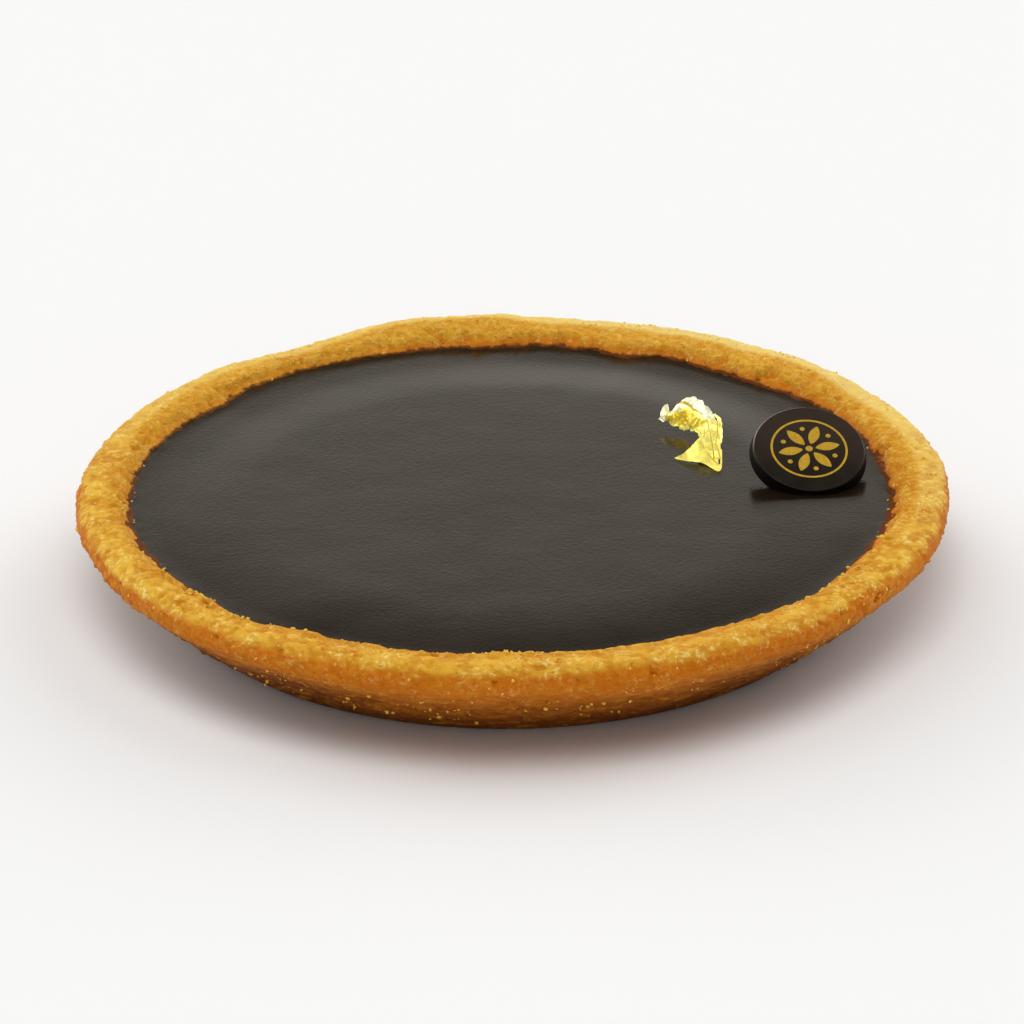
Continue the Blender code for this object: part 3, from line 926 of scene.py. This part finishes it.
def crease(place, size, seed):
    """Ragged folds from -1 to 1: the ridges of a noise with features of this size."""
    where = place / size + Vector((seed * 7.3, seed * 3.1, seed * 5.7))
    return 1 - 4 * abs(noise.noise(where, noise_basis="PERLIN_ORIGINAL"))


def folded(place, length_of, seed):
    """Straight folds from -1 to 1, this far apart, that bend a little on their way."""
    direction = Vector((math.sin(2.4 * seed), math.cos(2.4 * seed), math.sin(5.1 * seed)))
    t = place.dot(direction) / length_of + 0.37 * seed + 0.45 * noise.noise(place / (3.5 * MM))
    return 4 * abs(t - math.floor(t) - 0.5) - 1


def rib_share(along, across, line):
    """Distance in ribs from a point of the leaf to a line on it."""
    (a0, b0), (a1, b1) = line
    point, start = Vector((along, across * 3)), Vector((a0, b0 * 3))
    run = Vector((a1, b1 * 3)) - start
    t = min(1.0, max(0.0, (point - start).dot(run) / run.length_squared))
    return (point - start - run * t).length


# Folds on the leaf: (from, to, width in ribs, depth in millimetres), each place as (ribs along,
# share across).
LEAF_FOLDS = (
    ((9.1, 1.0), (8.2, 0.78), 0.12, 0.16),
    ((8.2, 0.78), (7.2, 0.64), 0.10, 0.14),
    ((7.2, 0.64), (6.2, 0.70), 0.07, 0.10),
    ((4.6, 0.50), (3.0, 0.68), 0.10, 0.18),
    ((5.4, 0.86), (3.9, 0.72), 0.09, 0.16),
    ((4.2, 0.12), (4.6, 0.42), 0.09, 0.14),
    ((3.4, 0.92), (3.9, 0.80), 0.10, 0.14),
    ((5.2, 0.30), (4.0, 0.25), 0.08, 0.12),
    ((5.6, 0.60), (4.4, 0.34), 0.06, 0.10),
    ((10.4, 0.0), (10.2, 1.0), 0.12, 0.25),
    ((2.6, 0.30), (3.2, 0.9), 0.08, 0.08),
)
# Holes in the leaf: (ribs along, share across, size in ribs).
LEAF_HOLES = (
    (3.3, 0.88, 0.13), (5.35, 0.86, 0.12), (5.75, 0.97, 0.10), (3.95, 0.97, 0.12),
    (4.75, 0.10, 0.10),
)


def whole(grid, i, j, along, across):
    """Whether the foil is there: its edges are torn, most along the inner edge of the lobe."""
    p = grid[i][j].co
    inner = (p - grid[i][0].co).length
    outer = min((p - grid[i][-1].co).length, (p - grid[0][j].co).length, (p - grid[-1][j].co).length)
    torn = 0.5 + noise.noise(p / (0.7 * MM)) + 0.5 * noise.noise(p / (0.3 * MM))
    if 5 < along < 10:
        inner -= 0.22 * MM * torn
    if min(inner, outer) < (0.07 + 0.12 * blend((along - 5.5) / 0.5)) * MM * torn:
        return False
    return all(rib_share(along, across, ((a, b), (a + 0.01, b))) > size for a, b, size in LEAF_HOLES)


TOWARDS_FRONT = Vector((0.0, -0.9, 0.4))


def leaf_mesh(settings):
    """A strip bent over the ribs, folded and creased, with torn edges.

    Its attribute runs from -1, where the gold is painted with a highlight, to 1, where it is deepest:
    painted shade in the folds and along a band, and darker gold at the start of the strip."""
    sheet = bmesh.new()
    worn = sheet.verts.layers.float.new("worn")
    grid, shares = [], {}
    for i in range(settings.steps + 1):
        along = i / settings.steps * (len(LEAF_RIBS) - 1)
        inner, outer = between_ribs(i / settings.steps)
        row = []
        for j in range(settings.rows + 1):
            across = j / settings.rows
            vertex = sheet.verts.new(LEAF_CORNER + inner.lerp(outer, across))
            shares[vertex] = (along, across)
            row.append(vertex)
        grid.append(row)
    for i in range(settings.steps):
        for j in range(settings.rows):
            if whole(grid, i, j, *shares[grid[i][j]]):
                sheet.faces.new((grid[i][j], grid[i + 1][j], grid[i + 1][j + 1], grid[i][j + 1]))
    loose = [vertex for vertex in sheet.verts if not vertex.link_faces]
    bmesh.ops.delete(sheet, geom=loose, context="VERTS")
    bmesh.ops.recalc_face_normals(sheet, faces=sheet.faces)
    sheet.normal_update()
    moved = {}
    for vertex in sheet.verts:
        p, (along, across) = vertex.co, shares[vertex]
        lobe = blend((along - 5.2) / 0.8) * blend((10.4 - along) / 0.6)
        band = lobe * blend((0.60 - across) / 0.12) * blend((across - 0.08) / 0.12)
        flat = 1 - 0.75 * blend((3.2 - along) / 0.5)
        folds = 0.50 * folded(p, 3.9 * MM, 1) + 0.34 * folded(p, 2.7 * MM, 2)
        folds += 0.22 * folded(p, 1.9 * MM, 3) + 0.08 * folded(p, 0.85 * MM, 5)
        folds += (0.10 + 0.25 * band) * crease(p, 0.8 * MM, 4)
        held = blend(5 * across + 0.3) * blend(5.3 - 5 * across)
        depth = settings.crumple * 0.42 * folds * held * flat
        depth += 0.40 * MM * lobe * math.sin(math.pi * across)
        dark = 0.0
        # Each fold is pressed in and also painted with shade.
        for start, end, width, size in LEAF_FOLDS:
            near = max(0.0, 1 - rib_share(along, across, (start, end)) / width)
            depth -= size * MM * near
            dark = max(dark, min(1.0, 1.4 * near))
        # Painted shade: a band along the inner part of the lobe.
        shaded_band = band * (0.75 + 0.6 * noise.noise(p / (0.7 * MM)))
        # Painted highlight: near-white gold on the open top of the lobe, faintly beyond it and at its
        # far end.
        bright = lobe * blend((across - 0.60) / 0.10) + blend((along - 3.4) / 0.6) * (1 - lobe) * 0.12
        bright += 0.6 * blend((along - 10.2) / 0.4)
        painted_shade = max(dark, shaded_band, 0.25 * (1 - lobe) * blend((3.6 - along) / 0.6))
        vertex[worn] = painted_shade if painted_shade > 0.05 else -bright
        facing = 1 if vertex.normal.dot(TOWARDS_FRONT) > 0 else -1
        moved[vertex] = p + vertex.normal * (depth * facing)
    for vertex, p in moved.items():
        vertex.co = p
    mesh = bpy.data.meshes.new("gold_leaf_crumpled")
    sheet.to_mesh(mesh)
    sheet.free()
    return mesh


def gold_material(settings):
    """Thin gold: lemon yellow, painted near white as a highlight where it lies open, and deep yellow as
    painted shade in its folds and along a band, and at random where it is thin.
    """
    material, nodes, place = new_material("gold_foil", 0.3, Metallic=0.35, Specular_IOR_Level=0.2)
    worn = nodes.number("ShaderNodeAttribute", None, "Fac", attribute_name="worn")
    thin = nodes.noise(place, 1.0 * MM).rise(0.50, 0.75)
    tint = nodes.mixed(worn.rise(0.0, -1.0), settings.gold, settings.bright)
    tint = nodes.mixed((worn.larger(0.0) + 0.15 * thin).smaller(1.0), tint, settings.deep_and_shaded)
    normal = bump(nodes, nodes.noise(place, 0.45 * MM, 2.0, 0.6), 0.02 * MM, 0.5)
    return feed(material, Base_Color=tint, Roughness=0.26 + 0.12 * thin, Normal=normal)


class TART_OT_leaf(bpy.types.Operator):
    """Lay the crumpled flake of gold leaf on the ganache"""

    bl_idname = "tart.leaf"
    bl_label = "Lay Gold Leaf"

    def execute(self, context):
        settings = context.scene.tart_leaf
        leaf = add_object("gold_leaf_crumpled", leaf_mesh(settings))
        leaf.data.materials.append(gold_material(settings))
        skin = leaf.modifiers.new("thickness", "SOLIDIFY")
        skin.thickness = settings.thickness
        skin.offset = 0.0
        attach(leaf, "root")
        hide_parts("gold_leaf")
        return {"FINISHED"}


# ---- stage
CAMERA_PLACE = Vector((0.0, -721.2, 338.7)) * MM
CAMERA_AIM = Vector((0.06, 0.0, 8.96)) * MM
CAMERA_ROLL = math.radians(-0.686)


def add_camera():
    camera = add_object("camera", bpy.data.cameras.new("camera"))
    camera.data.sensor_width = 36.0
    camera.data.lens = 242.1
    camera.data.clip_start, camera.data.clip_end = 0.05, 20.0
    look = (CAMERA_AIM - CAMERA_PLACE).to_track_quat("-Z", "Y").to_matrix().to_4x4()
    camera.matrix_world = Matrix.Translation(CAMERA_PLACE) @ look @ Matrix.Rotation(CAMERA_ROLL, 4, "Z")
    bpy.context.scene.camera = camera


def add_floor(settings):
    mesh = bpy.data.meshes.new("floor")
    side, drop = 3.0, -0.02 * MM
    corners = [(-side, -side, drop), (side, -side, drop), (side, side, drop), (-side, side, drop)]
    mesh.from_pydata(corners, [], [(0, 1, 2, 3)])
    floor = add_object("floor", mesh)
    material, nodes, place = new_material("pale_floor", 0.9, Specular_IOR_Level=0.1)
    cloud = nodes.noise(place, 0.4, 1.0)
    tint = nodes.mixed(cloud, settings.floor, tuple(0.995 * c for c in settings.floor))
    mesh.materials.append(feed(material, Base_Color=tint))


# Soft boxes in the surroundings: (degrees from the back towards the right, degrees above the
# horizon, half width of the even part, half width with the fade, brightness). The last is a
# black card.
SOFT_BOXES = (
    (60, 42, 14, 28, 1.4),
    (-60, 42, 14, 28, 1.1),
    (48, 13, 10, 26, 2.0),
    (-48, 13, 10, 26, 2.4),
    (185, 72, 10, 26, 3.0),
    (270, 72, 8, 24, 0.8),
    (180, 42, 8, 30, 0.3),
    (180, 12, 8, 28, 0.5),
    (-90, 16, 10, 28, 0.4),
    (10, 52, 14, 30, -0.18),
)
BACKDROP = 0.70


def add_sky(settings):
    """Dim surroundings with soft boxes round the tart and overhead, and a pale backdrop."""
    world = bpy.data.worlds.new("soft_boxes")
    bpy.context.scene.world = world
    world.use_nodes = True
    nodes = Nodes(world.node_tree)
    way = nodes.add("ShaderNodeTexCoord").outputs["Generated"]
    total = settings.ambient
    for turn, height, even, faded, brightness in SOFT_BOXES:
        turn, height = math.radians(turn), math.radians(height)
        level = math.cos(height)
        inputs = {0: way, 1: (math.sin(turn) * level, math.cos(turn) * level, math.sin(height))}
        toward = nodes.number("ShaderNodeVectorMath", inputs, "Value", operation="DOT_PRODUCT")
        lobe = toward.rise(math.cos(math.radians(faded)), math.cos(math.radians(even)))
        total = lobe * brightness + total
    back, up = nodes.parts(way)[1:]
    backdrop = back.rise(0.3, 0.7) * up.rise(math.sin(math.radians(31)), math.sin(math.radians(17)))
    total = backdrop * BACKDROP + total
    background = world.node_tree.nodes["Background"]
    background.inputs["Color"].default_value = (1.0, 0.985, 0.955, 1.0)
    world.node_tree.links.new((total * settings.sky).socket, background.inputs["Strength"])


class TART_OT_stage(bpy.types.Operator):
    """Set the floor, the soft light and the camera"""

    bl_idname = "tart.stage"
    bl_label = "Set Stage"

    def execute(self, context):
        settings = context.scene.tart_stage
        add_floor(settings)
        add_sky(settings)
        add_camera()
        context.scene.view_settings.view_transform = "Standard"
        return {"FINISHED"}


# ---- panel and start
OPERATORS = (TART_OT_crust, TART_OT_grains, TART_OT_ganache, TART_OT_disc, TART_OT_leaf, TART_OT_stage)


class TART_PT_pieces(bpy.types.Panel):
    """Pieces of the tart, in the order in which they are made"""

    bl_idname = "TART_PT_pieces"
    bl_label = "Chocolate Tart"
    bl_space_type = "VIEW_3D"
    bl_region_type = "UI"
    bl_category = "Tart"

    def draw(self, context):
        for made, key in zip(OPERATORS, SETTINGS):
            box = self.layout.box()
            box.operator(made.bl_idname)
            for name in SETTINGS[key].__annotations__:
                box.prop(getattr(context.scene, key), name)


def register():
    for group in SETTINGS.values():
        bpy.utils.register_class(group)
    for key, group in SETTINGS.items():
        setattr(bpy.types.Scene, key, PointerProperty(type=group))
    for made in (*OPERATORS, TART_PT_pieces):
        bpy.utils.register_class(made)


def unregister():
    for made in reversed((*OPERATORS, TART_PT_pieces)):
        bpy.utils.unregister_class(made)
    for key in SETTINGS:
        delattr(bpy.types.Scene, key)
    for group in reversed(list(SETTINGS.values())):
        bpy.utils.unregister_class(group)


def main():
    register()
    for made in OPERATORS:
        group, name = made.bl_idname.split(".")
        getattr(getattr(bpy.ops, group), name)()


if __name__ == "__main__":
    main()
